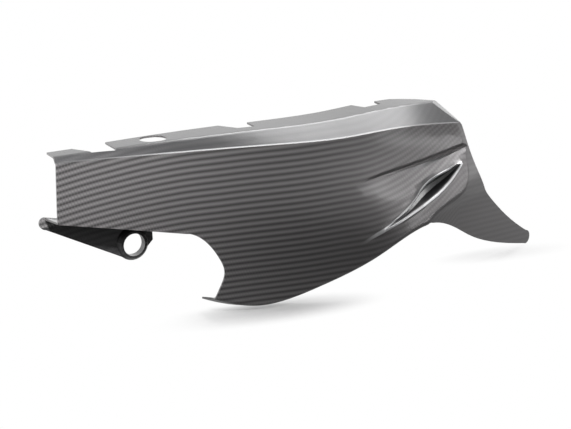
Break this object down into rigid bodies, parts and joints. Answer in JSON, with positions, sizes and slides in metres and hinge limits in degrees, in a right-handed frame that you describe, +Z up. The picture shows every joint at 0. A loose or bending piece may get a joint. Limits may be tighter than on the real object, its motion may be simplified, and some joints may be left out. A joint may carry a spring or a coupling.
{
  "type": "swingarm protector",
  "caption": "Moulded carbon-fibre swingarm guard: a curved open-backed shell with flanges, a hub notch, a blind leaf-shaped vent, a tail fin and an ear with a bolt eye.",
  "frame": {"origin": "centre of the bore through the ear's collar, halfway along its length", "axes": "+X from the front end towards the tail, +Y inwards towards the swingarm, +Z up"},
  "size_m": [0.5315, 0.109, 0.1658],
  "materials": {
    "carbon_laminate": "clear-coated 2x2 twill carbon-fibre laminate"
  },
  "bodies": {
    "root": {"protector_shell": "carbon_laminate"}
  },
  "joints": []
}
